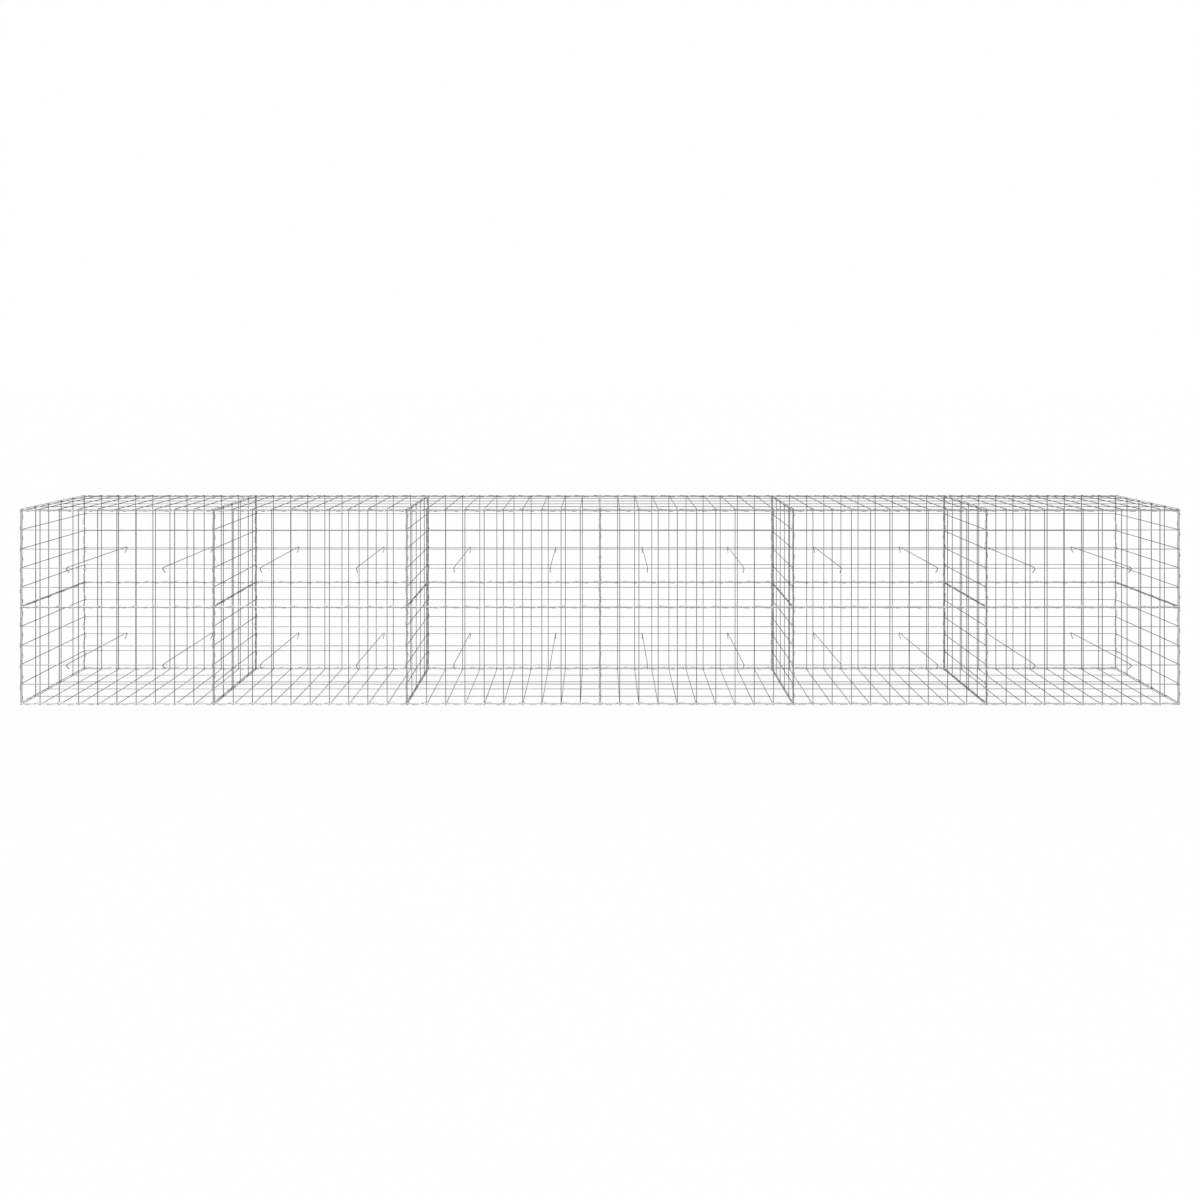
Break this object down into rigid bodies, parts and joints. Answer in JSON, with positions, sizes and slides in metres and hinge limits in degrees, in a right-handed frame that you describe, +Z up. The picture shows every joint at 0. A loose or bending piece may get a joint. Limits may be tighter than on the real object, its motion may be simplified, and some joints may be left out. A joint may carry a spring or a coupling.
{
  "type": "gabion wall",
  "caption": "Empty welded wire mesh gabion wall, laced shut, with partitions across it and hooked tie rods from front to back.",
  "frame": {"origin": "on the ground, under the middle of the wall", "axes": "+X along the wall to the right, +Y from the front to the back, +Z up"},
  "size_m": [6, 0.5188, 1.0159],
  "materials": {
    "galvanised_wire": "dull galvanised, unpainted",
    "tie_wire": "dull galvanised, unpainted"
  },
  "bodies": {
    "root": {"floor_1": "galvanised_wire", "floor_2": "galvanised_wire", "floor_3": "galvanised_wire", "floor_4": "galvanised_wire", "floor_5": "galvanised_wire", "floor_6": "galvanised_wire", "front_lower_1": "galvanised_wire", "front_lower_2": "galvanised_wire", "front_lower_3": "galvanised_wire", "front_lower_4": "galvanised_wire", "front_lower_5": "galvanised_wire", "front_lower_6": "galvanised_wire", "front_upper_1": "galvanised_wire", "front_upper_2": "galvanised_wire", "front_upper_3": "galvanised_wire", "front_upper_4": "galvanised_wire", "front_upper_5": "galvanised_wire", "front_upper_6": "galvanised_wire", "back_lower_1": "galvanised_wire", "back_lower_2": "galvanised_wire", "back_lower_3": "galvanised_wire", "back_lower_4": "galvanised_wire", "back_lower_5": "galvanised_wire", "back_lower_6": "galvanised_wire", "back_upper_1": "galvanised_wire", "back_upper_2": "galvanised_wire", "back_upper_3": "galvanised_wire", "back_upper_4": "galvanised_wire", "back_upper_5": "galvanised_wire", "back_upper_6": "galvanised_wire", "cover_1": "galvanised_wire", "cover_2": "galvanised_wire", "cover_3": "galvanised_wire", "cover_4": "galvanised_wire", "cover_5": "galvanised_wire", "cover_6": "galvanised_wire", "left_end": "galvanised_wire", "right_end": "galvanised_wire", "partition_1": "galvanised_wire", "partition_2": "galvanised_wire", "partition_3": "galvanised_wire", "partition_4": "galvanised_wire", "tie_rods_lower": "tie_wire", "tie_rods_upper": "tie_wire"}
  },
  "joints": []
}
